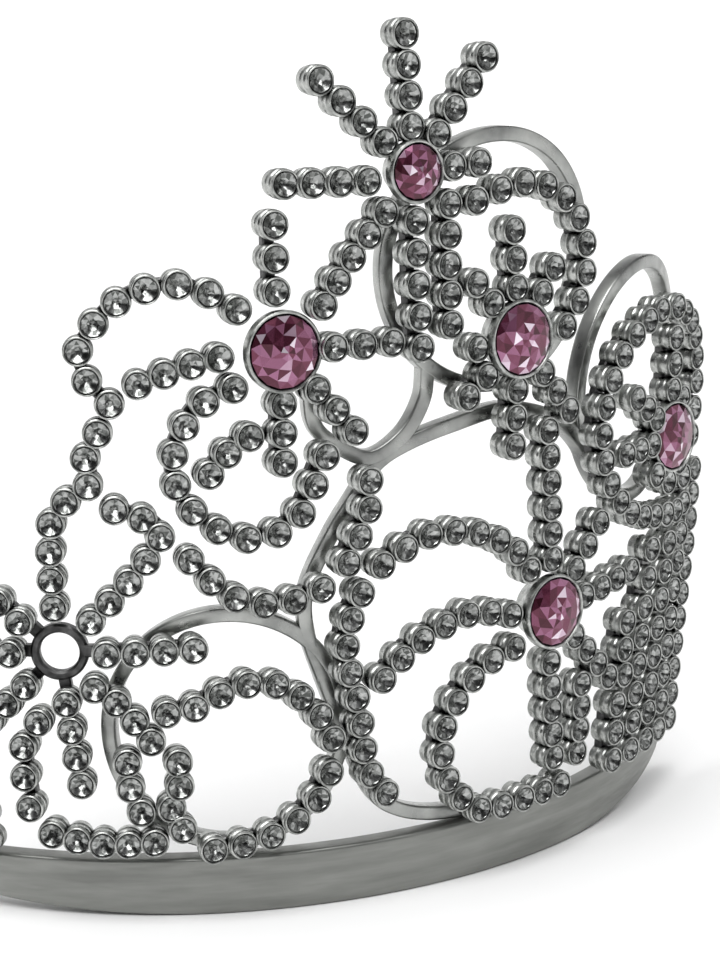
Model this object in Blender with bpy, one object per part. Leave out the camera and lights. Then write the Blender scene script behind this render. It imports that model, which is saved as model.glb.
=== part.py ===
"""Crown: a silver openwork tiara of beaded strands, smooth hoops and five pink stones on a plain curved band.

The openwork is laid out flat, as (across, up) in millimetres from the middle of the band's foot, and every
point is then wrapped onto a cone that stands on the band. The front faces -Y, and the origin is on the band's
underside at the middle of the front.
"""

import math

import bmesh
import bpy
from mathutils import Vector

MM = 0.001

# Driving dimensions, in millimetres. A depth is measured outwards from the bead faces.
FACE_RADIUS = 75.0  # plan radius of the bead faces at the foot
FLARE = 0.06  # how much wider the crown gets per millimetre of height
HALF_ARC = 64.0  # from the middle of the front to each end of the band, along the wrap

BAND_HEIGHT = 8.2
BAND_THICKNESS = 3.0
BAND_SETBACK = 3.0  # the band's outer face lies this far behind the bead faces
BAND_CHAMFER = 0.4
BAND_TAPER = 38.0  # how far from each end the underside starts to lift
BAND_LEFT_LIFT = 2.2  # how much it has lifted at each end
BAND_RIGHT_LIFT = 4.6
BAND_END_ROUND = 2.2

# The beads and stones face nearly the same way across the front, and turn off faster at the left.
FACING_TURN = math.radians(8.0)  # to the right, at the middle of the front
FACING_SHARE = 0.42  # the share of the curve's own turn that they follow
LEFT_BEND = -18.0  # where the faster turn starts
LEFT_SHARE = 0.95

BEAD_PITCH = 3.95
BEAD_RADIUS = 1.75
BEAD_TIP_HALF_WIDTH = 1.05  # the flat that ends a strand's last bead
STRAND_DEPTH = 3.4
NECK_HALF_WIDTH = 0.8
NECK_DROP = 1.7  # how far the strip between two beads lies behind their faces

HOOP_FRONT = -4.6
HOOP_DEPTH = 2.3
HOOP_WIDTH = 2.0

LARGE_STONE_RADIUS = 4.6
SMALL_STONE_RADIUS = 3.4
STONE_GIRDLE = 0.5
STONE_TOP = 1.7
STONE_TABLE = 0.55  # the flat top's radius as a share of the stone's
STONE_GAP = 0.25
STONE_FLOOR_GAP = 0.3

CUP_WALL = 0.4
CUP_PROUD = 0.6
CUP_FLOOR = -2.1
EYELET_HOLE_RADIUS = 2.6
EYELET_WALL = 1.2
SPOKE_ROOT = 0.4  # how far a spoke's neck runs into its cup
SPOKE_START = 1.5  # from the cup's wall to the middle of the spoke's first bead
EYELET_SPOKE_START = 2.8
SPOKE_PITCH = 3.8

STATIONS_PER_CURVE = 12
ARC_STEP = 25.0  # degrees between the points that guide an arc
HOOP_STEP = 2.5
BAND_STEPS = 48
BAND_END_STEPS = 6
CUP_SIDES = 20
STONE_SIDES = 12
SHARP_ANGLE = 40.0

ORIGIN_RADIUS = FACE_RADIUS - BAND_SETBACK - BAND_THICKNESS / 2  # plan radius of the band's mid-wall


def wrap(across, up, depth=0.0):
    """The point of the flat layout on the crown, moved outwards by depth."""
    angle = across / FACE_RADIUS
    radius = FACE_RADIUS + FLARE * up + depth
    return Vector((radius * math.sin(angle), ORIGIN_RADIUS - radius * math.cos(angle), up)) * MM


def facing(across):
    """The direction that a bead or a stone looks in."""
    past_bend = min(0.0, across - LEFT_BEND)
    angle = FACING_TURN + (FACING_SHARE * across + LEFT_SHARE * past_bend) / FACE_RADIUS
    return Vector((math.sin(angle), -math.cos(angle), 0.0))


def outwards(across):
    """The direction straight out of the crown's curve."""
    angle = across / FACE_RADIUS
    return Vector((math.sin(angle), -math.cos(angle), 0.0))


def along(centre, degrees, distance):
    """The layout point at a true distance from a centre, allowing for the crown being wider higher up."""
    across, up = centre
    widening = (FACE_RADIUS + FLARE * up) / FACE_RADIUS
    turn = math.radians(degrees)
    return across + distance * math.cos(turn) / widening, up + distance * math.sin(turn)


def arc(centre, radii, start, end):
    """Layout points round part of an ellipse, in degrees counterclockwise from the right."""
    steps = max(4, round(abs(end - start) / ARC_STEP))
    turns = [math.radians(start + (end - start) * i / steps) for i in range(steps + 1)]
    return [(centre[0] + radii[0] * math.cos(t), centre[1] + radii[1] * math.sin(t)) for t in turns]


def smooth(points):
    """A Catmull-Rom curve through layout points, as closely spaced points."""
    ends = [Vector(p) for p in points]
    ends.insert(0, 2 * ends[0] - ends[1])
    ends.append(2 * ends[-1] - ends[-2])
    curve = []
    for before, start, end, after in zip(ends, ends[1:], ends[2:], ends[3:]):
        for step in range(STATIONS_PER_CURVE):
            t = step / STATIONS_PER_CURVE
            curve.append(
                0.5
                * (
                    2 * start
                    + (end - before) * t
                    + (2 * before - 5 * start + 4 * end - after) * t**2
                    + (3 * start - before - 3 * end + after) * t**3
                )
            )
    curve.append(ends[-2])
    return curve


class Path:
    """A smooth curve on the crown that can be asked for the place at any distance along it."""

    def __init__(self, points, look=facing):
        self.look = look
        self.curve = smooth(points)
        self.reached = [0.0]
        for start, end in zip(self.curve, self.curve[1:]):
            step = (wrap(*end) - wrap(*start)).length / MM
            self.reached.append(self.reached[-1] + step)
        self.length = self.reached[-1]

    def layout_at(self, distance):
        """The layout point, which carries straight on past either end."""
        last = len(self.curve) - 2
        i = sum(1 for r in self.reached[1:-1] if r < distance)
        i = min(i, last)
        start, end = self.curve[i], self.curve[i + 1]
        share = (distance - self.reached[i]) / (self.reached[i + 1] - self.reached[i])
        return start + (end - start) * share

    def sections(self, stations):
        """The four corners of the strip's cross section at each (distance, half width, front, back)."""
        rings = []
        for distance, half_width, front, back in stations:
            here = self.layout_at(distance)
            ahead = wrap(*self.layout_at(distance + 0.05)) - wrap(*self.layout_at(distance - 0.05))
            face = self.look(here.x)
            side = face.cross(ahead).normalized() * half_width * MM
            near = wrap(*here) + face * front * MM
            far = wrap(*here) + face * back * MM
            rings.append([near - side, near + side, far + side, far - side])
        return rings


def mesh_object(name, fill, material):
    """An object whose mesh is built by fill(bm)."""
    bm = bmesh.new()
    fill(bm)
    bmesh.ops.recalc_face_normals(bm, faces=bm.faces)
    mesh = bpy.data.meshes.new(name)
    bm.to_mesh(mesh)
    bm.free()
    mesh.shade_smooth()
    mesh.set_sharp_from_angle(angle=math.radians(SHARP_ANGLE))
    mesh.materials.append(material)
    obj = bpy.data.objects.new(name, mesh)
    bpy.context.scene.collection.objects.link(obj)
    return obj


def skin(bm, rings, closed=False):
    """Joins neighbouring rings of corners with faces, and caps the ends of an open run."""
    loops = [[bm.verts.new(corner) for corner in ring] for ring in rings]
    pairs = list(zip(loops, loops[1:]))
    if closed:
        pairs.append((loops[-1], loops[0]))
    for first, second in pairs:
        for i in range(len(first)):
            j = (i + 1) % len(first)
            bm.faces.new((first[i], first[j], second[j], second[i]))
    if not closed:
        bm.faces.new(loops[0][::-1])
        bm.faces.new(loops[-1])


def bead_stations(first, count, pitch, stem=None):
    """Stations of a beaded strip: each bead is two wide stations, with a narrow recessed neck between beads.

    A stem is where a plain neck starts that leads to the first bead.
    """
    neck = (NECK_HALF_WIDTH, -NECK_DROP, -STRAND_DEPTH)
    bead = (BEAD_RADIUS, 0.0, -STRAND_DEPTH)
    tip = (BEAD_TIP_HALF_WIDTH, 0.0, -STRAND_DEPTH)
    end = first + (count - 1) * pitch
    if stem is None:
        stations = [(first - BEAD_RADIUS, *tip)]
    else:
        stations = [(stem, *neck), (first - 0.5 * pitch, *neck)]
    for i in range(count):
        middle = first + i * pitch
        stations += [(middle - 0.25 * pitch, *bead), (middle + 0.25 * pitch, *bead)]
        if i < count - 1:
            stations.append((middle + 0.5 * pitch, *neck))
    stations.append((end + BEAD_RADIUS, *tip))
    return stations


def beaded_strand(name, points, material):
    """Beads at an even pitch on a strip, from the first layout point to the last."""
    path = Path(points)
    count = round(path.length / BEAD_PITCH) + 1
    stations = bead_stations(0.0, count, path.length / (count - 1))
    return mesh_object(name, lambda bm: skin(bm, path.sections(stations)), material)


def hoop(name, points, material, closed=False):
    """A smooth flat-sided strip behind the beads."""
    path = Path(points, look=outwards)
    count = round(path.length / HOOP_STEP)
    shape = (HOOP_WIDTH / 2, HOOP_FRONT, HOOP_FRONT - HOOP_DEPTH)
    stations = [(path.length * i / count, *shape) for i in range(count + (not closed))]
    return mesh_object(name, lambda bm: skin(bm, path.sections(stations), closed), material)


def local_ring(centre, radius, depth, sides):
    """Corners of a circle round a layout point, looking the way that the beads there do."""
    axis = facing(centre[0])
    level = Vector((0, 0, 1)).cross(axis)
    middle = wrap(*centre) + axis * depth * MM
    turns = [2 * math.pi * i / sides for i in range(sides)]
    return [middle + (level * math.cos(t) + Vector((0, 0, 1)) * math.sin(t)) * radius * MM for t in turns]


def fill_turned(bm, centre, profile, sides, through):
    """A body turned about the way that it faces. A profile that doesn't go through ends in flat caps."""
    skin(bm, [local_ring(centre, radius, depth, sides) for radius, depth in profile], closed=through)


def flower(name, centre, stone_radius, spokes, material):
    """A setting with short beaded spokes round it. Without a stone it is an open eyelet."""
    back = -STRAND_DEPTH
    if stone_radius:
        cavity = stone_radius + STONE_GAP
        outer = cavity + CUP_WALL
        first = outer + SPOKE_START
        profile = [(outer, back), (outer, CUP_PROUD), (cavity, CUP_PROUD), (cavity, CUP_FLOOR)]
    else:
        cavity = EYELET_HOLE_RADIUS
        outer = cavity + EYELET_WALL
        first = outer + EYELET_SPOKE_START
        profile = [(outer, back), (outer, -NECK_DROP), (cavity, -NECK_DROP), (cavity, back)]
    cup = mesh_object(
        name, lambda bm: fill_turned(bm, centre, profile, CUP_SIDES, through=not stone_radius), material
    )

    def fill_spokes(bm):
        for degrees, count in spokes:
            path = Path([along(centre, degrees, 0.0), along(centre, degrees, first + count * SPOKE_PITCH)])
            skin(bm, path.sections(bead_stations(first, count, SPOKE_PITCH, stem=outer - SPOKE_ROOT)))

    rays = mesh_object(name + "_spokes", fill_spokes, material)
    rays.hide_render = True
    rays.display_type = "WIRE"
    union = cup.modifiers.new("spokes", "BOOLEAN")
    union.operation = "UNION"
    union.solver = "EXACT"
    union.object = rays
    return cup


def stone(name, centre, radius, material):
    """A round faceted stone: a pavilion below the girdle and a crown with a flat table above it."""
    table = STONE_TABLE * radius
    profile = [
        (table, CUP_FLOOR + STONE_FLOOR_GAP),
        (radius, 0.0),
        (radius, STONE_GIRDLE),
        (table, STONE_TOP),
    ]
    return mesh_object(
        name, lambda bm: fill_turned(bm, centre, profile, STONE_SIDES, through=False), material
    )


def band_underside(across):
    """Height of the band's underside, which lifts towards each end and is rounded up at its tip."""
    lift = BAND_LEFT_LIFT if across < 0 else BAND_RIGHT_LIFT
    lifting = max(0.0, abs(across) - (HALF_ARC - BAND_TAPER)) / BAND_TAPER
    rounding = max(0.0, abs(across) - (HALF_ARC - BAND_END_ROUND))
    corner = BAND_END_ROUND - math.sqrt(max(0.0, BAND_END_ROUND**2 - rounding**2))
    return lift * lifting**2 + corner


def band_outline(across):
    """The band's cross section, as (up, depth) corners."""
    low, high = band_underside(across), BAND_HEIGHT
    outer = -BAND_SETBACK
    inner = outer - BAND_THICKNESS
    return [
        (low, outer - BAND_CHAMFER),
        (low + BAND_CHAMFER, outer),
        (high - BAND_CHAMFER, outer),
        (high, outer - BAND_CHAMFER),
        (high, inner + BAND_CHAMFER),
        (high - BAND_CHAMFER, inner),
        (low + BAND_CHAMFER, inner),
        (low, inner + BAND_CHAMFER),
    ]


def band(material):
    """The plain band, with its underside lifted and rounded off at both ends."""
    quarter = [math.radians(90 * i / BAND_END_STEPS) for i in range(BAND_END_STEPS + 1)]
    end_part = [HALF_ARC - BAND_END_ROUND * (1 - math.sin(t)) for t in quarter]
    straight = end_part.pop(0)
    middle_part = [-straight + 2 * straight * i / BAND_STEPS for i in range(BAND_STEPS + 1)]
    places = [-u for u in reversed(end_part)] + middle_part + end_part
    rings = [[wrap(across, up, depth) for up, depth in band_outline(across)] for across in places]
    return mesh_object("base_band", lambda bm: skin(bm, rings), material)


def principled(name, colour, metallic, roughness):
    material = bpy.data.materials.new(name)
    material.use_nodes = True
    shader = material.node_tree.nodes["Principled BSDF"]
    shader.inputs["Base Color"].default_value = (*colour, 1.0)
    shader.inputs["Metallic"].default_value = metallic
    shader.inputs["Roughness"].default_value = roughness
    return material


# The flowers: centre of each, stone radius, and its spokes as (degrees, beads).
PEAK = (0.0, 98.0)
UPPER_LEFT = (-16.5, 76.7)
UPPER_RIGHT = (15.0, 75.2)
LOWER_LEFT = (-46.2, 37.7)
LOWER_RIGHT = (21.7, 36.7)
SIDE = (50.5, 55.8)
FLOWERS = {
    "flower_peak": (PEAK, SMALL_STONE_RADIUS, [(136, 4), (94, 4), (53, 4), (3, 2)]),
    "flower_upper_left": (UPPER_LEFT, LARGE_STONE_RADIUS, [(0, 3), (-50, 3), (-91, 3)]),
    "flower_upper_right": (
        UPPER_RIGHT,
        LARGE_STONE_RADIUS,
        [(56, 2), (95, 3), (131, 2), (184, 1), (220, 2), (-92, 3), (-49, 3)],
    ),
    "flower_lower_left": (LOWER_LEFT, None, [(2, 4), (-84, 4), (138, 3), (180, 3), (222, 3)]),
    "flower_lower_right": (LOWER_RIGHT, LARGE_STONE_RADIUS, [(48, 3), (6, 4), (-44, 4)]),
    "flower_side": (
        SIDE,
        LARGE_STONE_RADIUS,
        [(0, 1), (45, 1), (90, 3), (148, 3), (180, 3), (225, 1), (270, 1), (-45, 2)],
    ),
}

# The beaded strands, each by the layout points that its beads follow.
STRANDS = {
    "strand_peak_row": [(-5.8, 97.2), (-15.6, 97.4)],
    "strand_peak_column": [(-17.0, 92.5), (-17.0, 84.2)],
    "strand_peak_diagonal": [(-3.7, 93.2), (-8.0, 87.6), (-11.4, 82.1)],
    "strand_column_left": [(0.2, 91.8), (0.4, 84.0), (0.9, 75.6)],
    "strand_column_right": [(4.6, 93.6), (4.6, 86.0), (4.9, 78.2)],
    "strand_upper_right_loop": [(8.3, 93.7), *arc((15.0, 84.0), (11.3, 11.4), 95, -46)],
    "strand_petal_top": [
        (-21.6, 82.2),
        (-27.5, 85.6),
        (-35.0, 84.1),
        (-40.4, 78.2),
        (-39.6, 73.6),
        (-37.2, 70.9),
    ],
    "strand_petal_bottom": [(-33.7, 73.3), (-28.5, 75.2), (-23.9, 76.3)],
    "strand_upper_left_loop": [
        (-22.4, 72.3),
        (-27.0, 69.8),
        (-30.0, 63.6),
        (-28.6, 57.6),
        (-22.5, 52.9),
        (-15.6, 54.4),
        (-11.5, 62.8),
    ],
    "strand_inner_curl": [(-20.7, 66.0), (-23.6, 63.9), (-25.7, 61.4)],
    "strand_lower_arc": [(-28.6, 50.3), (-24.0, 45.4), (-18.0, 43.7), (-12.4, 45.3)],
    "strand_far_left_stem": [
        (-38.9, 67.2),
        (-40.6, 64.2),
        (-40.4, 60.6),
        (-45.0, 56.9),
        (-46.0, 51.5),
        (-46.1, 44.2),
    ],
    "strand_far_left_petal": [(-37.5, 57.2), (-32.0, 54.4), (-35.6, 48.5), (-41.5, 42.4)],
    "strand_fork": [(-41.7, 33.2), (-38.5, 30.9), (-34.8, 25.9)],
    "strand_fork_left": [(-38.1, 23.0), (-37.9, 19.4), (-36.7, 16.0)],
    "strand_fork_right": [(-31.5, 22.9), (-31.5, 19.4), (-32.7, 16.6), (-31.4, 13.5)],
    "strand_lower_left_loop": [(-49.6, 28.4), (-52.2, 24.0), (-51.8, 16.2)],
    "strand_ring_top": [
        (-32.6, 29.7),
        (-29.4, 30.2),
        (-23.0, 33.1),
        (-17.5, 32.4),
        (-13.2, 28.2),
        (-11.5, 24.6),
    ],
    "strand_ring_bottom": [(-11.9, 19.9), (-14.6, 15.2), (-20.5, 11.6), (-27.5, 10.4)],
    "strand_foot_row": [(-35.2, 11.7), (-42.0, 11.4), (-49.0, 12.6)],
    "strand_boundary_top": [(-6.0, 59.0), (-6.3, 54.8), (-9.0, 48.4)],
    "strand_boundary_bottom": [(-7.3, 44.1), (-9.4, 37.5), (-7.8, 28.0), (-6.8, 20.0), (-4.3, 15.9)],
    "strand_lower_right_arch": [(-4.5, 47.6), (2.0, 50.7), (9.5, 49.8), (15.2, 46.4), (17.6, 43.3)],
    "strand_lower_right_inner": [(-4.5, 31.9), (0.5, 36.3), (8.0, 39.0), (14.6, 37.6)],
    "strand_lower_right_stem": [(20.2, 62.1), (21.0, 53.0), (21.6, 44.1)],
    "strand_lower_right_petal": [
        (15.2, 32.8),
        (9.5, 30.6),
        (4.4, 24.0),
        (4.6, 16.5),
        (9.2, 11.1),
        (13.6, 10.4),
    ],
    "strand_lower_right_foot": [(17.4, 10.5), (21.0, 10.6), (24.4, 10.8)],
    "strand_lower_right_drop": [(21.7, 29.3), (22.2, 22.5), (22.9, 15.2)],
    "strand_right_stem": [(28.2, 24.6), (28.2, 19.0), (27.7, 14.6)],
    "strand_side_loop_left": arc((46.5, 60.0), (15.5, 15.0), 96, 268),
    "strand_side_loop_right": arc((46.5, 60.0), (17.0, 15.0), 76, -25),
    "strand_side_row": [(50.4, 44.3), (54.5, 43.9), (58.5, 44.1)],
    "strand_side_cluster": [(38.8, 31.0), (38.4, 27.0), (38.7, 23.2)],
    "strand_side_column_1": [(37.0, 19.2), (36.5, 10.9)],
    "strand_side_column_2": [(45.4, 40.2), (44.0, 32.0), (42.5, 22.0), (41.5, 11.0)],
    "strand_side_column_3": [(52.0, 39.6), (50.0, 32.0), (47.8, 22.0), (46.5, 11.0)],
    "strand_side_column_4": [(57.8, 39.6), (55.6, 32.0), (53.3, 22.0), (51.5, 11.0)],
    "strand_side_column_5": [(66.5, 47.5), (65.0, 40.0), (61.5, 30.0), (58.5, 20.0), (57.0, 11.0)],
    "strand_left_end": [(-59.1, 24.8), (-59.5, 17.9), (-58.8, 10.8)],
}

# The hoops, each by its layout points and whether it's a closed ring.
HOOPS = {
    "hoop_upper_right": (arc((14.5, 85.1), (16.5, 16.4), 0, 345), True),
    "hoop_lower_left": (arc((-25.0, 25.6), (16.5, 16.0), 0, 345), True),
    "hoop_side": (arc((46.0, 64.0), (16.5, 16.8), 0, 345), True),
    "hoop_centre_top": (
        [
            (26.5, 61.8),
            (17.0, 65.0),
            (8.0, 64.0),
            (1.0, 62.3),
            (-3.5, 60.0),
            (-6.5, 56.0),
            (-10.0, 51.0),
            (-13.5, 44.0),
            (-13.8, 40.3),
        ],
        False,
    ),
    "hoop_centre_foot": ([(-6.6, 19.5), (-4.5, 14.5), (-0.5, 11.4), (5.0, 10.0)], False),
    "hoop_upper_left": (
        [(-12.5, 72.0), (-12.0, 67.0), (-9.5, 64.3), (-5.5, 63.3), (-1.5, 64.6), (1.6, 68.6)],
        False,
    ),
}


def build():
    silver = principled("Silver", (0.62, 0.63, 0.62), 1.0, 0.18)
    band_silver = principled("Band_silver", (0.5, 0.51, 0.5), 1.0, 0.35)
    pink = principled("Pink_stone", (0.75, 0.18, 0.4), 0.0, 0.05)
    band(band_silver)
    for name, (points, closed) in HOOPS.items():
        hoop(name, points, silver, closed)
    for name, (centre, stone_radius, spokes) in FLOWERS.items():
        flower(name, centre, stone_radius, spokes, silver)
        if stone_radius:
            stone(name.replace("flower", "stone"), centre, stone_radius, pink)
    for name, points in STRANDS.items():
        beaded_strand(name, points, silver)


for old in list(bpy.data.objects):
    bpy.data.objects.remove(old)
build()
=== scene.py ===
"""Looks of the crown: fine beads, faceted stones, smooth hoops and a satin band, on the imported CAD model."""

import math

import bpy
import numpy as np
from mathutils import Matrix, Vector


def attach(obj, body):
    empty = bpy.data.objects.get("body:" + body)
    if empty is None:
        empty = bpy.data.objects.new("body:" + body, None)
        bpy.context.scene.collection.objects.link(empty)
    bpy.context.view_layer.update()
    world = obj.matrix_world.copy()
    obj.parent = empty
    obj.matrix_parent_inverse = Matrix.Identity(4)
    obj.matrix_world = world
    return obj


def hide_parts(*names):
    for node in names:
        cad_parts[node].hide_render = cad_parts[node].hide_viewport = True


MM = 0.001

# Dimensions of the CAD model that the pieces share, in millimetres. A depth is measured outwards from the
# bead faces.
FACE_RADIUS = 75.0
FLARE = 0.06
HALF_ARC = 64.0
BAND_HEIGHT = 8.2
BAND_THICKNESS = 3.0
BAND_SETBACK = 3.0
BAND_TAPER = 38.0
BAND_LEFT_LIFT = 2.2
BAND_RIGHT_LIFT = 4.6
BAND_END_ROUND = 2.2
ORIGIN_RADIUS = FACE_RADIUS - BAND_SETBACK - BAND_THICKNESS / 2
FACING_TURN = math.radians(8.0)
FACING_SHARE = 0.42
LEFT_BEND = -18.0
LEFT_SHARE = 0.95
BEAD_PITCH = 3.95
SPOKE_START = 1.5
EYELET_SPOKE_START = 2.8
SPOKE_PITCH = 3.8
STRAND_DEPTH = 3.4
HOOP_FRONT = -4.6
HOOP_DEPTH = 2.3
HOOP_WIDTH = 2.0
LARGE_STONE_RADIUS = 4.6
SMALL_STONE_RADIUS = 3.4
STONE_GAP = 0.25
CUP_WALL = 0.4
EYELET_HOLE_RADIUS = 2.6
EYELET_WALL = 1.2

# How finely the shown pieces are divided, and the details that the CAD model leaves out.
STATIONS_PER_CURVE = 12
ARC_STEP = 25.0
BEAD_SIDES = 32
BEAD_SWELL = 1.12  # the shown beads all but touch, where the CAD model keeps a gap
CUP_SIDES = 72
RIBBON_STEP = 0.6
BAND_STEPS = 160
BAND_END_STEPS = 14
BAND_EASE = 0.5  # the radius that an edge is rounded by
HOOP_EASE = 0.3
STRIP_EASE = 0.2
STRIP_HALF_WIDTH = 0.8
STRIP_FRONT = -2.0
STRIP_ROOT = 0.3  # how far a spoke's strip runs into its cup
EYELET_FRONT = -1.9
EYELET_BACK_EASE = 0.2
EYELET_FRONT_EASE = 0.3
SEAT_PLAY = 0.03  # between a stone and its seat
SMOOTH_ANGLE = math.radians(32)
FACET_ANGLE = math.radians(1)
PROBE = 0.05  # how far along a path to look for its direction
GOLDEN_TURN = math.radians(137.5)  # turns each bead's facets differently from its neighbour's
STRIP_SLOT = 1  # the places of materials in the list that a beaded piece is made with
FACET_SLOT = 2

# Profile of a bead's stepped wall and its rim, as (radius, depth), from its back to the edge of its facets.
BEAD_PROFILE = [
    (1.46, -3.40),
    (1.56, -3.30),
    (1.57, -2.50),
    (1.68, -2.36),
    (1.70, -2.05),
    (1.60, -1.86),
    (1.59, -1.40),
    (1.73, -1.24),
    (1.75, -0.86),
    (1.62, -0.66),
    (1.62, -0.42),
    (1.71, -0.26),
    (1.68, -0.07),
    (1.58, 0.00),
    (1.48, -0.05),
    (1.43, -0.28),
    (1.36, -0.30),
    (1.31, -0.14),
]
# The rings of corners of a bead's facets, as (radius, depth, corners), and how unevenly the corners lie.
FACET_RINGS = [(1.22, -0.26, 16), (0.74, -0.48, 8), (0.40, -0.86, 8)]
FACET_PIT = -1.0
FACET_UNEVEN = (0.05, -0.04, 0.02, -0.06, 0.06, -0.01, 0.04, -0.05)

# A stone: its foot and its girdle, and then its rings of facets, as (share of its radius, depth, corners).
STONE_SIDES = 16
STONE_FOOT_SHARE = 0.5
STONE_FOOT = -1.6
STONE_GIRDLE_BACK = 0.15
STONE_GIRDLE_FRONT = 0.50
STONE_RINGS = [(0.80, 0.92, 16), (0.50, 1.30, 8), (0.22, 1.52, 8)]
STONE_TIP = 1.6
STONE_TURN = 0.2


def wrap(across, up, depth=0.0):
    """The point of the flat layout on the crown, moved outwards by depth."""
    angle = across / FACE_RADIUS
    radius = FACE_RADIUS + FLARE * up + depth
    return Vector((radius * math.sin(angle), ORIGIN_RADIUS - radius * math.cos(angle), up)) * MM


def facing(across):
    """The direction that a bead or a stone looks in, which turns less than the curve does."""
    past_bend = min(0.0, across - LEFT_BEND)
    angle = FACING_TURN + (FACING_SHARE * across + LEFT_SHARE * past_bend) / FACE_RADIUS
    return Vector((math.sin(angle), -math.cos(angle), 0.0))


def outwards(across):
    """The direction straight out of the crown's curve."""
    angle = across / FACE_RADIUS
    return Vector((math.sin(angle), -math.cos(angle), 0.0))


def along(centre, degrees, distance):
    """The layout point at a true distance from a centre, allowing for the crown being wider higher up."""
    across, up = centre
    widening = (FACE_RADIUS + FLARE * up) / FACE_RADIUS
    turn = math.radians(degrees)
    return across + distance * math.cos(turn) / widening, up + distance * math.sin(turn)


def arc(centre, radii, start, end):
    """Layout points round part of an ellipse, in degrees counterclockwise from the right."""
    steps = max(4, round(abs(end - start) / ARC_STEP))
    turns = [math.radians(start + (end - start) * i / steps) for i in range(steps + 1)]
    return [(centre[0] + radii[0] * math.cos(t), centre[1] + radii[1] * math.sin(t)) for t in turns]


def smooth(points):
    """A Catmull-Rom curve through layout points, as closely spaced points."""
    ends = [Vector(p) for p in points]
    ends.insert(0, 2 * ends[0] - ends[1])
    ends.append(2 * ends[-1] - ends[-2])
    curve = []
    for before, start, end, after in zip(ends, ends[1:], ends[2:], ends[3:]):
        for step in range(STATIONS_PER_CURVE):
            t = step / STATIONS_PER_CURVE
            curve.append(
                0.5
                * (
                    2 * start
                    + (end - before) * t
                    + (2 * before - 5 * start + 4 * end - after) * t**2
                    + (3 * start - before - 3 * end + after) * t**3
                )
            )
    curve.append(ends[-2])
    return curve


class Path:
    """A smooth curve on the crown that can be asked for the place at any distance along it."""

    def __init__(self, points, look=facing):
        self.look = look
        self.curve = smooth(points)
        self.reached = [0.0]
        for start, end in zip(self.curve, self.curve[1:]):
            step = (wrap(*end) - wrap(*start)).length / MM
            self.reached.append(self.reached[-1] + step)
        self.length = self.reached[-1]

    def layout_at(self, distance):
        """The layout point, which carries straight on past either end."""
        last = len(self.curve) - 2
        i = min(sum(1 for r in self.reached[1:-1] if r < distance), last)
        start, end = self.curve[i], self.curve[i + 1]
        share = (distance - self.reached[i]) / (self.reached[i + 1] - self.reached[i])
        return start + (end - start) * share

    def frame_at(self, distance):
        """The point on the bead faces, the sideways direction and the way that the faces look."""
        here = self.layout_at(distance)
        ahead = wrap(*self.layout_at(distance + PROBE)) - wrap(*self.layout_at(distance - PROBE))
        out = self.look(here.x)
        return wrap(*here), out.cross(ahead).normalized(), out


def facet_ring(radius, depth, corners, offset):
    """Corners of a ring of facets, each a little nearer or deeper than the next."""
    ring = []
    for i in range(corners):
        turn = 2 * math.pi * (i + offset) / corners
        uneven = FACET_UNEVEN[(3 * i + corners) % len(FACET_UNEVEN)]
        ring.append((radius * math.cos(turn), radius * math.sin(turn), depth + uneven))
    return ring


def facet_faces(first, rings, tip):
    """Triangles between rings with these numbers of corners, the first from point first, in to the tip."""
    faces = []
    for outer, inner in zip(rings, rings[1:]):
        step = outer // inner
        after = first + outer
        for i in range(inner):
            j = (i + 1) % inner
            rim = [first + (i * step + n) % outer for n in range(step + 1)]
            faces += [(rim[n], rim[n + 1], after + i) for n in range(step)]
            faces.append((rim[step], after + j, after + i))
        first = after
    last = rings[-1]
    faces += [(first + i, first + (i + 1) % last, tip) for i in range(last)]
    return faces


class Shape:
    """Collects the points and faces of one piece, each face with the number of its material."""

    def __init__(self):
        self.points = []
        self.faces = []
        self.slots = []

    def add(self, points, faces, slots):
        """Adds faces that are numbered from the first of the points given."""
        first = len(self.points)
        self.points += [tuple(p) for p in points]
        self.faces += [tuple(first + i for i in face) for face in faces]
        self.slots += slots

    def add_rings(self, rings, closed=False, slot=0, caps=(True, True)):
        """Joins neighbouring rings of corners with faces."""
        sides = len(rings[0])
        faces = []
        for k in range(len(rings) if closed else len(rings) - 1):
            for i in range(sides):
                j = (i + 1) % sides
                low, high = k * sides, (k + 1) % len(rings) * sides
                faces.append((low + i, low + j, high + j, high + i))
        if not closed and caps[0]:
            faces.append(tuple(reversed(range(sides))))
        if not closed and caps[1]:
            faces.append(tuple((len(rings) - 1) * sides + i for i in range(sides)))
        self.add([p for ring in rings for p in ring], faces, [slot] * len(faces))

    def add_facets(self, sides, rings, tip, start=0, slot=0):
        """Facets from the last corners added, through (radius, depth, corners) rings, in to a tip."""
        edge = len(self.points) - sides
        for number, (radius, depth, corners) in enumerate(rings, start):
            self.points += facet_ring(radius, depth, corners, 0.5 * number)
        self.points.append((0.0, 0.0, tip))
        faces = facet_faces(edge, [sides] + [ring[2] for ring in rings], len(self.points) - 1)
        self.faces += faces
        self.slots += [slot] * len(faces)

    def make(self, name, materials, sharp=SMOOTH_ANGLE):
        mesh = bpy.data.meshes.new(name)
        mesh.from_pydata(self.points, [], self.faces)
        mesh.polygons.foreach_set("material_index", self.slots)
        for material in materials:
            mesh.materials.append(material)
        mesh.shade_smooth()
        mesh.set_sharp_from_angle(angle=sharp)
        obj = bpy.data.objects.new(name, mesh)
        bpy.context.scene.collection.objects.link(obj)
        return obj


def circle(radius, sides, depth):
    """Corners of a circle about the outward axis, in a piece's own axes (sideways, up, outwards)."""
    turns = [2 * math.pi * i / sides for i in range(sides)]
    return [(radius * math.cos(t), radius * math.sin(t), depth) for t in turns]


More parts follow.
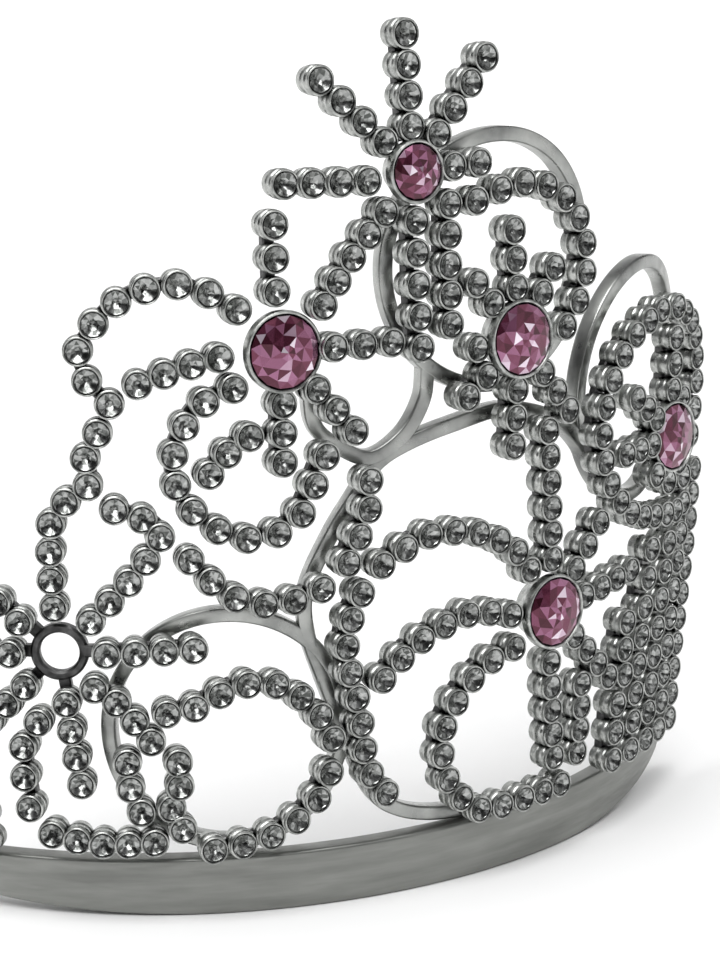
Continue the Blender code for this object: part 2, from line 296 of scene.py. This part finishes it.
def bead_template():
    """One bead in its own axes: a stepped wall and, inside its rim, sunken facets."""
    shape = Shape()
    wall_rings = [circle(radius, BEAD_SIDES, depth) for radius, depth in BEAD_PROFILE]
    shape.add_rings(wall_rings, caps=(True, False))
    shape.add_facets(BEAD_SIDES, FACET_RINGS, FACET_PIT, slot=FACET_SLOT)
    return shape


BEAD = bead_template()


def placed(points, middle, side, out, turn=0.0):
    """Millimetre points in (sideways, up, outwards) axes, turned about the outward axis and put in place."""
    third = out.cross(side)
    across = side * math.cos(turn) + third * math.sin(turn)
    above = out.cross(across)
    axes = np.array([across, above, out])
    return np.asarray(points) @ axes * MM + np.array(middle)


def add_bead(shape, path, distance, number):
    """One bead at a distance along a path, turned by its number in the row."""
    middle, side, out = path.frame_at(distance)
    swollen = np.array(BEAD.points) * (BEAD_SWELL, BEAD_SWELL, 1.0)
    shape.add(placed(swollen, middle, side, out, number * GOLDEN_TURN), BEAD.faces, BEAD.slots)


def strip_section(path, distance):
    """A section of the thin strip that joins the beads, with its front edges eased."""
    middle, side, out = path.frame_at(distance)
    half, ease, back = STRIP_HALF_WIDTH, STRIP_EASE, -STRAND_DEPTH
    outline = [
        (-half, STRIP_FRONT - ease),
        (-half + ease, STRIP_FRONT),
        (half - ease, STRIP_FRONT),
        (half, STRIP_FRONT - ease),
        (half, back + ease),
        (half - ease, back),
        (-half + ease, back),
        (-half, back + ease),
    ]
    return [middle + (side * u + out * v) * MM for u, v in outline]


def add_strip(shape, path, start, end):
    """The strip from one distance along a path to another."""
    count = max(2, round((end - start) / RIBBON_STEP))
    places = [start + (end - start) * i / count for i in range(count + 1)]
    shape.add_rings([strip_section(path, distance) for distance in places], slot=STRIP_SLOT)


def strand(name, points, materials):
    """A run of beads at an even pitch, on a thin strip."""
    path = Path(points)
    count = round(path.length / BEAD_PITCH) + 1
    pitch = path.length / (count - 1)
    shape = Shape()
    for i in range(count):
        add_bead(shape, path, i * pitch, i)
    add_strip(shape, path, 0.0, path.length)
    return shape.make("beads_" + name.removeprefix("strand_"), materials)


def turned(shape, centre, profile, sides, through, slot=0):
    """A body turned about the outward axis at a layout point."""
    out = facing(centre[0])
    side = Vector((0, 0, 1)).cross(out)
    rings = [placed(circle(r, sides, d), wrap(*centre), side, out) for r, d in profile]
    shape.add_rings(rings, closed=through, slot=slot)


def cup_profile(stone_radius):
    """A bezel: a wall with one groove, a thin rounded lip that stands proud, and a seat for the stone."""
    seat = stone_radius + SEAT_PLAY
    outer = stone_radius + STONE_GAP + CUP_WALL
    back = -STRAND_DEPTH
    return [
        (outer - 1.30, back),
        (outer - 1.10, -2.60),
        (outer - 0.50, -1.30),
        (outer - 0.36, -0.90),
        (outer - 0.06, -0.70),
        (outer, 0.28),
        (outer - 0.08, 0.50),
        (outer - 0.24, 0.60),
        (outer - 0.42, 0.56),
        (outer - 0.54, 0.40),
        (seat, 0.25),
        (seat, -0.6),
        (seat - 0.6, -2.0),
    ]


def eyelet_profile():
    """A plain ring with eased edges."""
    hole, outer = EYELET_HOLE_RADIUS, EYELET_HOLE_RADIUS + EYELET_WALL
    back, front = -STRAND_DEPTH, EYELET_FRONT
    return [
        (outer - EYELET_BACK_EASE, back),
        (outer, back + EYELET_BACK_EASE),
        (outer, front - EYELET_FRONT_EASE),
        (outer - EYELET_FRONT_EASE, front),
        (hole + EYELET_FRONT_EASE, front),
        (hole, front - EYELET_FRONT_EASE),
        (hole, back + EYELET_BACK_EASE),
        (hole + EYELET_BACK_EASE, back),
    ]


def flower(name, centre, stone_radius, spokes, materials):
    """A round setting, or an open eyelet, with short runs of beads standing out from it."""
    shape = Shape()
    if stone_radius:
        turned(shape, centre, cup_profile(stone_radius), CUP_SIDES, through=False)
        outer = stone_radius + STONE_GAP + CUP_WALL
        first = outer + SPOKE_START
    else:
        # The eyelet takes the strip's near-black painted shade.
        turned(shape, centre, eyelet_profile(), CUP_SIDES, through=True, slot=STRIP_SLOT)
        outer = EYELET_HOLE_RADIUS + EYELET_WALL
        first = outer + EYELET_SPOKE_START
    for degrees, count in spokes:
        path = Path([along(centre, degrees, 0.0), along(centre, degrees, first + count * SPOKE_PITCH)])
        for i in range(count):
            add_bead(shape, path, first + i * SPOKE_PITCH, i)
        add_strip(shape, path, outer - STRIP_ROOT, first + (count - 1) * SPOKE_PITCH)
    return shape.make("setting_" + name.removeprefix("flower_"), materials)


def brilliant(name, centre, radius, material):
    """A round faceted stone: uneven triangular facets that rise from its girdle almost to a point."""
    out = facing(centre[0])
    side = Vector((0, 0, 1)).cross(out)
    shape = Shape()
    base_rings = [
        circle(STONE_FOOT_SHARE * radius, STONE_SIDES, STONE_FOOT),
        circle(radius, STONE_SIDES, STONE_GIRDLE_BACK),
        circle(radius, STONE_SIDES, STONE_GIRDLE_FRONT),
    ]
    shape.add_rings(base_rings, caps=(True, False))
    facet_rings = [(share * radius, depth, corners) for share, depth, corners in STONE_RINGS]
    shape.add_facets(STONE_SIDES, facet_rings, STONE_TIP, start=1)
    shape.points = list(placed(shape.points, wrap(*centre), side, out, turn=STONE_TURN))
    return shape.make("gem_" + name.removeprefix("stone_"), [material], sharp=FACET_ANGLE)


def rounded_rectangle(half_width, front, back, ease, steps=3):
    """Corners of a rectangle with rounded corners, as (sideways, depth)."""
    outline = []
    corners = [
        (half_width - ease, front - ease, 0),
        (-half_width + ease, front - ease, 90),
        (-half_width + ease, back + ease, 180),
        (half_width - ease, back + ease, 270),
    ]
    for u, v, start in corners:
        for k in range(steps + 1):
            t = math.radians(start + 90 * k / steps)
            outline.append((u + ease * math.cos(t), v + ease * math.sin(t)))
    return outline


def hoop(name, points, closed, materials):
    """A smooth ribbon that stands on edge behind the beads."""
    path = Path(points, look=outwards)
    count = round(path.length / RIBBON_STEP)
    outline = rounded_rectangle(HOOP_WIDTH / 2, HOOP_FRONT, HOOP_FRONT - HOOP_DEPTH, HOOP_EASE)
    rings = []
    for i in range(count + (not closed)):
        middle, side, out = path.frame_at(path.length * i / count)
        rings.append([middle + (side * u + out * v) * MM for u, v in outline])
    shape = Shape()
    shape.add_rings(rings, closed)
    return shape.make("ring_" + name.removeprefix("hoop_"), materials)


def band_underside(across):
    """Height of the band's underside, which lifts towards each end and is rounded up at its tip."""
    lift = BAND_LEFT_LIFT if across < 0 else BAND_RIGHT_LIFT
    lifting = max(0.0, abs(across) - (HALF_ARC - BAND_TAPER)) / BAND_TAPER
    rounding = max(0.0, abs(across) - (HALF_ARC - BAND_END_ROUND))
    corner = BAND_END_ROUND - math.sqrt(max(0.0, BAND_END_ROUND**2 - rounding**2))
    return lift * lifting**2 + corner


def band_section(across):
    """The band's rounded cross section at a place along it."""
    low, outer = band_underside(across), -BAND_SETBACK
    middle = (BAND_HEIGHT + low) / 2
    half_height = (BAND_HEIGHT - low) / 2
    outline = rounded_rectangle(half_height, outer, outer - BAND_THICKNESS, BAND_EASE, steps=4)
    return [wrap(across, middle + u, depth) for u, depth in outline]


def band(materials):
    """The plain band, with its sections closest together at its rounded ends."""
    straight = HALF_ARC - BAND_END_ROUND
    quarter = [math.radians(90 * i / BAND_END_STEPS) for i in range(1, BAND_END_STEPS + 1)]
    end_part = [straight + BAND_END_ROUND * math.sin(t) for t in quarter]
    middle_part = [-straight + 2 * straight * i / BAND_STEPS for i in range(BAND_STEPS + 1)]
    places = [-u for u in reversed(end_part)] + middle_part + end_part
    shape = Shape()
    shape.add_rings([band_section(u) for u in places])
    return shape.make("band", materials)


# The flowers: centre of each, stone radius, and its spokes as (degrees, beads).
PEAK = (0.0, 98.0)
UPPER_LEFT = (-16.5, 76.7)
UPPER_RIGHT = (15.0, 75.2)
LOWER_LEFT = (-46.2, 37.7)
LOWER_RIGHT = (21.7, 36.7)
SIDE = (50.5, 55.8)
FLOWERS = {
    "flower_peak": (PEAK, SMALL_STONE_RADIUS, [(136, 4), (94, 4), (53, 4), (3, 2)]),
    "flower_upper_left": (UPPER_LEFT, LARGE_STONE_RADIUS, [(0, 3), (-50, 3), (-91, 3)]),
    "flower_upper_right": (
        UPPER_RIGHT,
        LARGE_STONE_RADIUS,
        [(56, 2), (95, 3), (131, 2), (184, 1), (220, 2), (-92, 3), (-49, 3)],
    ),
    "flower_lower_left": (LOWER_LEFT, None, [(2, 4), (-84, 4), (138, 3), (180, 3), (222, 3)]),
    "flower_lower_right": (LOWER_RIGHT, LARGE_STONE_RADIUS, [(48, 3), (6, 4), (-44, 4)]),
    "flower_side": (
        SIDE,
        LARGE_STONE_RADIUS,
        [(0, 1), (45, 1), (90, 3), (148, 3), (180, 3), (225, 1), (270, 1), (-45, 2)],
    ),
}

# The beaded strands, each by the layout points that its beads follow.
STRANDS = {
    "strand_peak_row": [(-5.8, 97.2), (-15.6, 97.4)],
    "strand_peak_column": [(-17.0, 92.5), (-17.0, 84.2)],
    "strand_peak_diagonal": [(-3.7, 93.2), (-8.0, 87.6), (-11.4, 82.1)],
    "strand_column_left": [(0.2, 91.8), (0.4, 84.0), (0.9, 75.6)],
    "strand_column_right": [(4.6, 93.6), (4.6, 86.0), (4.9, 78.2)],
    "strand_upper_right_loop": [(8.3, 93.7), *arc((15.0, 84.0), (11.3, 11.4), 95, -46)],
    "strand_petal_top": [
        (-21.6, 82.2),
        (-27.5, 85.6),
        (-35.0, 84.1),
        (-40.4, 78.2),
        (-39.6, 73.6),
        (-37.2, 70.9),
    ],
    "strand_petal_bottom": [(-33.7, 73.3), (-28.5, 75.2), (-23.9, 76.3)],
    "strand_upper_left_loop": [
        (-22.4, 72.3),
        (-27.0, 69.8),
        (-30.0, 63.6),
        (-28.6, 57.6),
        (-22.5, 52.9),
        (-15.6, 54.4),
        (-11.5, 62.8),
    ],
    "strand_inner_curl": [(-20.7, 66.0), (-23.6, 63.9), (-25.7, 61.4)],
    "strand_lower_arc": [(-28.6, 50.3), (-24.0, 45.4), (-18.0, 43.7), (-12.4, 45.3)],
    "strand_far_left_stem": [
        (-38.9, 67.2),
        (-40.6, 64.2),
        (-40.4, 60.6),
        (-45.0, 56.9),
        (-46.0, 51.5),
        (-46.1, 44.2),
    ],
    "strand_far_left_petal": [(-37.5, 57.2), (-32.0, 54.4), (-35.6, 48.5), (-41.5, 42.4)],
    "strand_fork": [(-41.7, 33.2), (-38.5, 30.9), (-34.8, 25.9)],
    "strand_fork_left": [(-38.1, 23.0), (-37.9, 19.4), (-36.7, 16.0)],
    "strand_fork_right": [(-31.5, 22.9), (-31.5, 19.4), (-32.7, 16.6), (-31.4, 13.5)],
    "strand_lower_left_loop": [(-49.6, 28.4), (-52.2, 24.0), (-51.8, 16.2)],
    "strand_ring_top": [
        (-32.6, 29.7),
        (-29.4, 30.2),
        (-23.0, 33.1),
        (-17.5, 32.4),
        (-13.2, 28.2),
        (-11.5, 24.6),
    ],
    "strand_ring_bottom": [(-11.9, 19.9), (-14.6, 15.2), (-20.5, 11.6), (-27.5, 10.4)],
    "strand_foot_row": [(-35.2, 11.7), (-42.0, 11.4), (-49.0, 12.6)],
    "strand_boundary_top": [(-6.0, 59.0), (-6.3, 54.8), (-9.0, 48.4)],
    "strand_boundary_bottom": [(-7.3, 44.1), (-9.4, 37.5), (-7.8, 28.0), (-6.8, 20.0), (-4.3, 15.9)],
    "strand_lower_right_arch": [(-4.5, 47.6), (2.0, 50.7), (9.5, 49.8), (15.2, 46.4), (17.6, 43.3)],
    "strand_lower_right_inner": [(-4.5, 31.9), (0.5, 36.3), (8.0, 39.0), (14.6, 37.6)],
    "strand_lower_right_stem": [(20.2, 62.1), (21.0, 53.0), (21.6, 44.1)],
    "strand_lower_right_petal": [
        (15.2, 32.8),
        (9.5, 30.6),
        (4.4, 24.0),
        (4.6, 16.5),
        (9.2, 11.1),
        (13.6, 10.4),
    ],
    "strand_lower_right_foot": [(17.4, 10.5), (21.0, 10.6), (24.4, 10.8)],
    "strand_lower_right_drop": [(21.7, 29.3), (22.2, 22.5), (22.9, 15.2)],
    "strand_right_stem": [(28.2, 24.6), (28.2, 19.0), (27.7, 14.6)],
    "strand_side_loop_left": arc((46.5, 60.0), (15.5, 15.0), 96, 268),
    "strand_side_loop_right": arc((46.5, 60.0), (17.0, 15.0), 76, -25),
    "strand_side_row": [(50.4, 44.3), (54.5, 43.9), (58.5, 44.1)],
    "strand_side_cluster": [(38.8, 31.0), (38.4, 27.0), (38.7, 23.2)],
    "strand_side_column_1": [(37.0, 19.2), (36.5, 10.9)],
    "strand_side_column_2": [(45.4, 40.2), (44.0, 32.0), (42.5, 22.0), (41.5, 11.0)],
    "strand_side_column_3": [(52.0, 39.6), (50.0, 32.0), (47.8, 22.0), (46.5, 11.0)],
    "strand_side_column_4": [(57.8, 39.6), (55.6, 32.0), (53.3, 22.0), (51.5, 11.0)],
    "strand_side_column_5": [(66.5, 47.5), (65.0, 40.0), (61.5, 30.0), (58.5, 20.0), (57.0, 11.0)],
    "strand_left_end": [(-59.1, 24.8), (-59.5, 17.9), (-58.8, 10.8)],
}

# The hoops, each by its layout points and whether it's a closed ring. Three are shown run on until they meet
# the others, and the side hoop is a little further round than in the CAD model.
HOOPS = {
    "hoop_upper_right": (arc((14.5, 85.1), (16.5, 16.4), 0, 345), True),
    "hoop_lower_left": (arc((-25.0, 25.6), (16.5, 16.0), 0, 345), True),
    "hoop_side": (arc((48.5, 64.3), (16.8, 16.8), 0, 345), True),
    "hoop_centre_top": (
        [
            (35.0, 54.5),
            (32.0, 58.3),
            (26.0, 62.4),
            (17.0, 65.0),
            (8.0, 64.0),
            (1.0, 62.3),
            (-3.5, 60.0),
            (-6.5, 56.0),
            (-10.0, 51.0),
            (-13.5, 44.0),
            (-13.5, 38.0),
            (-11.5, 31.5),
        ],
        False,
    ),
    "hoop_centre_foot": (
        [
            (-11.5, 31.5),
            (-8.0, 22.0),
            (-4.5, 14.5),
            (-0.5, 11.4),
            (5.0, 9.8),
            (11.5, 9.2),
        ],
        False,
    ),
    "hoop_upper_left": (
        [
            (-12.5, 72.0),
            (-12.0, 66.5),
            (-9.5, 63.5),
            (-4.5, 61.0),
            (0.5, 63.5),
            (3.5, 68.0),
            (4.0, 72.5),
        ],
        False,
    ),
}


class Nodes:
    """Short ways to add and link a material's nodes."""

    def __init__(self, name):
        self.material = bpy.data.materials.new(name)
        self.material.use_nodes = True
        self.tree = self.material.node_tree
        self.shader = self.tree.nodes["Principled BSDF"]
        self.place = self.add("ShaderNodeTexCoord").outputs["Object"]

    def add(self, kind, inputs=None, **settings):
        node = self.tree.nodes.new(kind)
        for key, value in settings.items():
            setattr(node, key, value)
        for key, value in (inputs or {}).items():
            if isinstance(value, bpy.types.NodeSocket):
                self.tree.links.new(value, node.inputs[key])
            else:
                node.inputs[key].default_value = value
        return node

    def noise(self, scale, detail=3.0, place=None, roughness=0.5):
        inputs = {"Vector": place or self.place, "Scale": scale, "Detail": detail, "Roughness": roughness}
        return self.add("ShaderNodeTexNoise", inputs).outputs["Fac"]

    def ramp(self, factor, low, high, start=0.0, end=1.0):
        """A colour that goes from low to high as the factor goes from start to end."""
        node = self.add("ShaderNodeValToRGB", {"Fac": factor})
        first, last = node.color_ramp.elements
        first.position, last.position = start, end
        first.color, last.color = (*low, 1.0), (*high, 1.0)
        return node.outputs["Color"]

    def spread(self, factor, low, high):
        """A number that goes from low to high as the factor goes from 0.3 to 0.7."""
        inputs = {"Value": factor, "From Min": 0.3, "From Max": 0.7, "To Min": low, "To Max": high}
        return self.add("ShaderNodeMapRange", inputs).outputs["Result"]

    def bump(self, height, strength, distance):
        inputs = {"Height": height, "Strength": strength, "Distance": distance}
        return self.add("ShaderNodeBump", inputs).outputs["Normal"]

    def product(self, first, second):
        node = self.add("ShaderNodeMix", data_type="RGBA", blend_type="MULTIPLY")
        node.inputs["Factor"].default_value = 1.0
        self.tree.links.new(first, node.inputs["A"])
        self.tree.links.new(second, node.inputs["B"])
        return node.outputs["Result"]

    def surface(self, **inputs):
        """Sets or links the shader's inputs, with underscores for the spaces in their names."""
        for key, value in inputs.items():
            socket = self.shader.inputs[key.replace("_", " ")]
            if isinstance(value, bpy.types.NodeSocket):
                self.tree.links.new(value, socket)
            else:
                socket.default_value = value
        return self.material


def crevice_shade(m, dark, reach):
    """Painted shade: a grey, from ambient occlusion, that is darkest in crevices and white on open surfaces.
    """
    crevice = m.add("ShaderNodeAmbientOcclusion", {"Distance": reach}, samples=6).outputs["AO"]
    return m.ramp(crevice, (dark, dark, dark), (1.0, 1.0, 1.0), 0.25, 0.82)


def bead_silver():
    """The beads' walls and rims: metallised plastic, with painted shade darkening its crevices."""
    m = Nodes("Bead_silver")
    tone = m.ramp(m.noise(1100.0), (0.23, 0.24, 0.23), (0.58, 0.59, 0.57), 0.3, 0.7)
    return m.surface(
        # A random tone of the plating, multiplied by painted shade in the crevices.
        Base_Color=m.product(tone, crevice_shade(m, 0.02, 1.4 * MM)),
        Metallic=1.0,
        Roughness=m.spread(m.noise(900.0), 0.22, 0.38),
        Normal=m.bump(m.noise(1500.0, detail=2.0), 0.35, 0.08 * MM),
    )


def facet_silver():
    """The beads' sunken facets: each facet's brightness is picked at random, a painted sparkle standing in for
    reflections, and the pit is darkened with painted shade.
    """
    m = Nodes("Facet_silver")
    plane = m.add("ShaderNodeNewGeometry").outputs["True Normal"]
    chance = m.add("ShaderNodeTexWhiteNoise", {"Vector": plane}).outputs["Value"]
    # Painted reflections: each facet gets a random brightness, as if it caught the light differently.
    tone = m.ramp(chance, (0.10, 0.105, 0.10), (0.50, 0.51, 0.50), 0.1, 0.98)
    return m.surface(
        # Multiplied by painted shade in the pit and between the facets.
        Base_Color=m.product(tone, crevice_shade(m, 0.0, 1.1 * MM)),
        Metallic=1.0,
        Roughness=m.spread(m.noise(1600.0), 0.12, 0.30),
        Normal=m.bump(m.noise(2600.0, detail=2.0), 0.3, 0.04 * MM),
    )


def painted_shade_strip():
    """The thin strip between the beads, painted nearly black as the shade that falls between them."""
    m = Nodes("Strip_silver_painted_shade")
    # Painted shade: a near-black tone for the shade between the beads.
    tone = m.ramp(m.noise(500.0), (0.03, 0.03, 0.03), (0.12, 0.12, 0.12), 0.3, 0.7)
    return m.surface(
        Base_Color=tone,
        Metallic=1.0,
        Roughness=m.spread(m.noise(1200.0), 0.30, 0.48),
        Normal=m.bump(m.noise(2000.0), 0.3, 0.05 * MM),
    )


def ring_silver():
    """Smooth grey ribbon with soft flow marks."""
    m = Nodes("Ring_silver")
    tone = m.ramp(m.noise(170.0, detail=4.0), (0.21, 0.215, 0.21), (0.50, 0.51, 0.49), 0.3, 0.7)
    return m.surface(
        Base_Color=tone,
        Metallic=1.0,
        Roughness=m.spread(m.noise(420.0), 0.24, 0.38),
        Normal=m.bump(m.noise(700.0), 0.2, 0.08 * MM),
    )


def band_silver():
    """Satin grey band with faint marks drawn along it."""
    m = Nodes("Band_satin_silver")
    drawn = m.add("ShaderNodeMapping", {"Vector": m.place, "Scale": (1.0, 1.0, 9.0)}).outputs["Vector"]
    tone = m.ramp(m.noise(60.0, place=drawn), (0.21, 0.215, 0.203), (0.30, 0.306, 0.29), 0.3, 0.7)
    return m.surface(
        Base_Color=tone,
        Metallic=1.0,
        Roughness=m.spread(m.noise(300.0, place=drawn), 0.36, 0.50),
        Normal=m.bump(m.noise(420.0, place=drawn), 0.25, 0.06 * MM),
    )


def pink_stone():
    """A foiled pink stone under a hard gloss: the pink is its own colour, each facet's tone picked at random
    from dark wine through rose to a pale lilac is painted reflection, and painted shade darkens it near the
    bezel.
    """
    m = Nodes("Pink_foiled_stone")
    plane = m.add("ShaderNodeNewGeometry").outputs["True Normal"]
    chance = m.add("ShaderNodeTexWhiteNoise", {"Vector": plane}).outputs["Value"]
    # Painted reflections: each facet's colour is picked at random, from dark wine to a pale lilac glint.
    tone = m.add("ShaderNodeValToRGB", {"Fac": chance})
    low, high = tone.color_ramp.elements
    low.position, low.color = 0.0, (0.05, 0.006, 0.014, 1.0)
    high.position, high.color = 1.0, (0.95, 0.85, 0.95, 1.0)
    wine = tone.color_ramp.elements.new(0.45)
    wine.color = (0.15, 0.03, 0.065, 1.0)
    rose = tone.color_ramp.elements.new(0.88)
    rose.color = (0.36, 0.15, 0.26, 1.0)
    return m.surface(
        # Multiplied by painted shade near the bezel.
        Base_Color=m.product(tone.outputs["Color"], crevice_shade(m, 0.3, 1.6 * MM)),
        Metallic=0.7,
        Roughness=m.spread(m.noise(800.0), 0.14, 0.26),
        Coat_Weight=0.4,
        Coat_Roughness=0.08,
    )


def floor_white():
    """A matt floor that is almost evenly white."""
    m = Nodes("Pale_floor")
    tone = m.ramp(m.noise(3.0), (0.90, 0.90, 0.90), (0.93, 0.93, 0.93), 0.3, 0.7)
    return m.surface(Base_Color=tone, Roughness=m.spread(m.noise(8.0), 0.75, 0.85))


# The stage: a camera that looks down on the crown's front from its left, a floor and a soft studio.
CAMERA_PLACE = Vector((-0.1239, -0.2711, 0.1224))
CAMERA_FORWARD = Vector((0.394, 0.894, -0.214))
CAMERA_ROLL = -0.035
CAMERA_LENS = 87.0
CAMERA_SENSOR = 36.0
SUN_FROM = Vector((-0.25, -0.35, 0.9))
SUN_ANGLE = math.radians(55)
SUN_STRENGTH = 2.9
SIDE_SUN_FROM = Vector((0.9, -0.5, 0.15))
SIDE_SUN_ANGLE = math.radians(60)
SIDE_SUN_STRENGTH = 0.6
ROOM_LOW = (0.05, 0.05, 0.05)
ROOM_MIDDLE = (0.08, 0.08, 0.085)
ROOM_HIGH = (0.5, 0.5, 0.5)


def add_camera():
    """A camera at the fixed place, rolled a little about its line of sight."""
    forward = CAMERA_FORWARD.normalized()
    level = forward.cross(Vector((0, 0, 1))).normalized()
    above = level.cross(forward)
    right = level * math.cos(CAMERA_ROLL) + above * math.sin(CAMERA_ROLL)
    upward = above * math.cos(CAMERA_ROLL) - level * math.sin(CAMERA_ROLL)
    data = bpy.data.cameras.new("Camera")
    data.lens = CAMERA_LENS
    data.sensor_width = CAMERA_SENSOR
    data.clip_start = 0.01
    camera = bpy.data.objects.new("Camera", data)
    turn = Matrix((right, upward, -forward)).transposed()
    camera.matrix_world = Matrix.Translation(CAMERA_PLACE) @ turn.to_4x4()
    bpy.context.scene.collection.objects.link(camera)
    bpy.context.scene.camera = camera


def add_sun(name, source, angle, strength):
    """A very large soft source in the direction given."""
    data = bpy.data.lights.new(name, "SUN")
    data.energy = strength
    data.angle = angle
    sun = bpy.data.objects.new(name, data)
    sun.rotation_euler = source.to_track_quat("Z", "Y").to_euler()
    bpy.context.scene.collection.objects.link(sun)


def add_studio():
    """A room that is dim all round and lighter overhead."""
    world = bpy.data.worlds.new("Studio")
    world.use_nodes = True
    bpy.context.scene.world = world
    tree = world.node_tree
    place = tree.nodes.new("ShaderNodeTexCoord")
    split = tree.nodes.new("ShaderNodeSeparateXYZ")
    ramp = tree.nodes.new("ShaderNodeValToRGB")
    tree.links.new(place.outputs["Generated"], split.inputs["Vector"])
    tree.links.new(split.outputs["Z"], ramp.inputs["Fac"])
    tree.links.new(ramp.outputs["Color"], tree.nodes["Background"].inputs["Color"])
    low, high = ramp.color_ramp.elements
    low.position, low.color = 0.0, (*ROOM_LOW, 1.0)
    high.position, high.color = 0.9, (*ROOM_HIGH, 1.0)
    middle = ramp.color_ramp.elements.new(0.45)
    middle.color = (*ROOM_MIDDLE, 1.0)
    add_sun("Overhead_soft_sun", SUN_FROM, SUN_ANGLE, SUN_STRENGTH)
    add_sun("Right_soft_sun", SIDE_SUN_FROM, SIDE_SUN_ANGLE, SIDE_SUN_STRENGTH)


def add_floor():
    """A pale floor that sweeps up into a backdrop well behind the crown."""
    near, far, bend, height, half = -3.0, 1.6, 0.8, 2.4, 5.0
    outline = [(near, 0.0), (far, 0.0)]
    for i in range(1, 17):
        t = math.radians(90 * i / 16)
        outline.append((far + bend * math.sin(t), bend * (1 - math.cos(t))))
    outline.append((far + bend, height))
    points = [(x, y, z) for y, z in outline for x in (-half, half)]
    faces = [(2 * i, 2 * i + 1, 2 * i + 3, 2 * i + 2) for i in range(len(outline) - 1)]
    mesh = bpy.data.meshes.new("Floor")
    mesh.from_pydata(points, [], faces)
    mesh.shade_smooth()
    mesh.materials.append(floor_white())
    floor = bpy.data.objects.new("Floor", mesh)
    bpy.context.scene.collection.objects.link(floor)


def show(piece, node):
    """Puts a piece in the place of its CAD node."""
    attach(piece, "root")
    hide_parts(node)


def dress_crown():
    """Makes every shown piece and puts it in the place of its CAD node."""
    silver = [bead_silver(), painted_shade_strip(), facet_silver()]
    ring = [ring_silver()]
    pink = pink_stone()
    show(band([band_silver()]), "base_band")
    for name, (points, closed) in HOOPS.items():
        show(hoop(name, points, closed, ring), name)
    for name, points in STRANDS.items():
        show(strand(name, points, silver), name)
    for name, (centre, stone_radius, spokes) in FLOWERS.items():
        show(flower(name, centre, stone_radius, spokes, silver), name)
        if stone_radius:
            gem = name.replace("flower", "stone")
            show(brilliant(gem, centre, stone_radius, pink), gem)


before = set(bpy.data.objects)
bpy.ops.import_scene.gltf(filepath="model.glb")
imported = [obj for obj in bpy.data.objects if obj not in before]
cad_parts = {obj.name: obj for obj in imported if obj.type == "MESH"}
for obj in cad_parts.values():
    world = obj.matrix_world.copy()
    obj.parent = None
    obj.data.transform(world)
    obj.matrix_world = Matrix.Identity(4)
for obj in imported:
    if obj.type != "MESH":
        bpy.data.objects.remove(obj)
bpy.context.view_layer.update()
add_camera()
add_studio()
add_floor()
bpy.context.scene.view_settings.view_transform = "Standard"
dress_crown()
